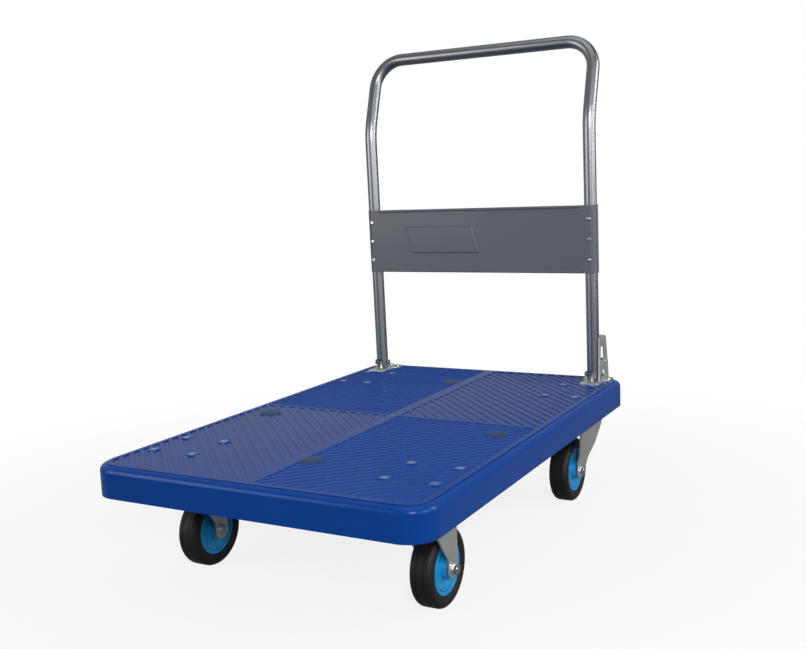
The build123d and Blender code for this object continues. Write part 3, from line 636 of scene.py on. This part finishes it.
plainFinish = {"caster_bolts": "bolt", "caster_nuts": "bolt", "shoe_screws": "bolt", "pivot_nuts": "bolt",
               "pivot_bushes": "dark", "handle_panel": "panel", "panel_rivets": "bolt",
               "lock_striker": "zinc", "lock_pin": "bolt", "lock_spring": "spring", "lock_pawl": "zinc",
               "left_shoe": "zinc", "right_shoe": "zinc"}
endings = {"plate": "zinc", "fork": "zinc", "kingpin": "bolt", "pivot_bolt": "bolt", "axle": "bolt", "axle_nut": "bolt",
           "spacers": "bolt", "bearings": "bolt", "ball_ring": "bolt", "dust_seal": "dark"}
rounding = {"left_shoe": 0.5, "right_shoe": 0.5, "lock_pawl": 0.5, "caster_nuts": 0.3}  # edge widths
for name in sides:
    rounding[f"front_{name}_fork"] = 0.6
    rounding[f"rear_{name}_fork"] = 0.6
    rounding[f"front_{name}_plate"] = 0.6
    rounding[f"{name}_pivot_bolt"] = 0.35
for corner in corners:
    rounding[f"{corner}_axle_nut"] = 0.4
for node, obj in list(frame["nodes"].items()):
    for ending, finish in endings.items():
        if node.endswith("_" + ending):
            setMaterial(obj, finishes[finish])
    if node in plainFinish:
        setMaterial(obj, finishes[plainFinish[node]])
    if node in rounding:
        softEdged(node, "soft_" + node, rounding[node], obj.data.materials[0], bodyOf(node))


# Camera, floor and light

cameraSizes = {"place": (1.5467, 0.8831, 0.6378), "yaw": 3.6472, "pitch": -0.1479, "roll": -0.0403,
               "lens": 44.41, "lift": 0.0083}


def makeCamera():
    c = cameraSizes
    ahead = Vector((math.cos(c["pitch"]) * math.cos(c["yaw"]), math.cos(c["pitch"]) * math.sin(c["yaw"]),
                    math.sin(c["pitch"])))
    level = ahead.cross(Vector((0, 0, 1))).normalized()
    rise = level.cross(ahead)
    right = level * math.cos(c["roll"]) + rise * math.sin(c["roll"])
    up = rise * math.cos(c["roll"]) - level * math.sin(c["roll"])
    camera = bpy.data.objects.new("camera", bpy.data.cameras.new("camera"))
    camera.data.lens = c["lens"]
    camera.data.sensor_width = 36
    camera.data.sensor_fit = "HORIZONTAL"
    camera.data.shift_y = c["lift"]
    camera.matrix_world = Matrix.Translation(c["place"]) @ Matrix((right, up, -ahead)).transposed().to_4x4()
    bpy.context.collection.objects.link(camera)
    bpy.context.scene.camera = camera


def makeFloor():
    reach = 3.2
    mesh = meshFrom("floor", [(-reach, -reach, 0), (reach, -reach, 0), (reach, reach, 0), (-reach, reach, 0)],
                    [(0, 1, 2, 3)])
    material = bpy.data.materials.new("paleFloor")
    material.use_nodes = True
    tree = material.node_tree
    shader = tree.nodes["Principled BSDF"]
    shader.inputs["Base Color"].default_value = (0.8, 0.8, 0.8, 1)
    shader.inputs["Roughness"].default_value = 0.9
    place = addNode(tree, "ShaderNodeTexCoord").outputs["Object"]
    away = addNode(tree, "ShaderNodeVectorMath", operation="LENGTH")
    tree.links.new(place, away.inputs[0])
    fade = addNode(tree, "ShaderNodeMapRange", {"Value": away.outputs["Value"], "From Min": 0.4, "From Max": 1.5,
                                                "To Min": 0.16, "To Max": 0.0}, interpolation_type="SMOOTHSTEP")
    tree.links.new(fade.outputs[0], shader.inputs["Alpha"])
    newObject("floor", mesh, material)


studioLights = {  # place, point it faces, size, power
    "overhead": ((0.2, 0.3, 3.0), (0, 0, 0.2), (2.5, 2.0), 14),
    "near": ((2.4, 1.7, 1.5), (0, 0, 0.3), (0.6, 0.6), 46),
    "front": ((2.3, -2.0, 1.0), (0, 0, 0.3), (1.6, 1.6), 26),
    "side": ((0.6, 2.8, 1.1), (0, 0, 0.3), (1.4, 1.4), 24),
    "far": ((-1.2, 2.6, 1.4), (-0.4, 0, 0.6), (0.7, 1.6), 26)}


def makeLight(name, place, target, size, power):
    data = bpy.data.lights.new(name, "AREA")
    data.shape = "RECTANGLE"
    data.size, data.size_y = size
    data.energy = power
    light = bpy.data.objects.new(name, data)
    light.location = place
    light.rotation_euler = (Vector(target) - Vector(place)).to_track_quat("-Z", "Y").to_euler()
    bpy.context.collection.objects.link(light)


def makeWorld():
    world = bpy.data.worlds.new("studio")
    bpy.context.scene.world = world
    world.use_nodes = True
    tree = world.node_tree
    tree.nodes.clear()
    way = addNode(tree, "ShaderNodeTexCoord").outputs["Generated"]
    toward = addNode(tree, "ShaderNodeVectorMath", operation="DOT_PRODUCT")
    tree.links.new(way, toward.inputs[0])
    toward.inputs[1].default_value = (-0.66, -0.68, 0.32)
    shade = addNode(tree, "ShaderNodeMapRange", {"Value": toward.outputs["Value"], "From Min": 0.1, "From Max": 1.0,
                                                 "To Min": 0.10, "To Max": 0.42})
    glow = addNode(tree, "ShaderNodeBackground", {"Color": (1, 1, 1, 1), "Strength": shade.outputs[0]})
    seen = addNode(tree, "ShaderNodeBackground", {"Color": (1, 1, 1, 1), "Strength": 1.0})
    ray = addNode(tree, "ShaderNodeLightPath")
    mix = addNode(tree, "ShaderNodeMixShader", {0: ray.outputs["Is Camera Ray"], 1: glow.outputs[0],
                                                2: seen.outputs[0]})
    addNode(tree, "ShaderNodeOutputWorld", {"Surface": mix.outputs[0]})


makeCamera()
makeFloor()
makeWorld()
for name, settings in studioLights.items():
    makeLight(name, *settings)
bpy.context.scene.view_settings.view_transform = "Standard"
print("studio set")
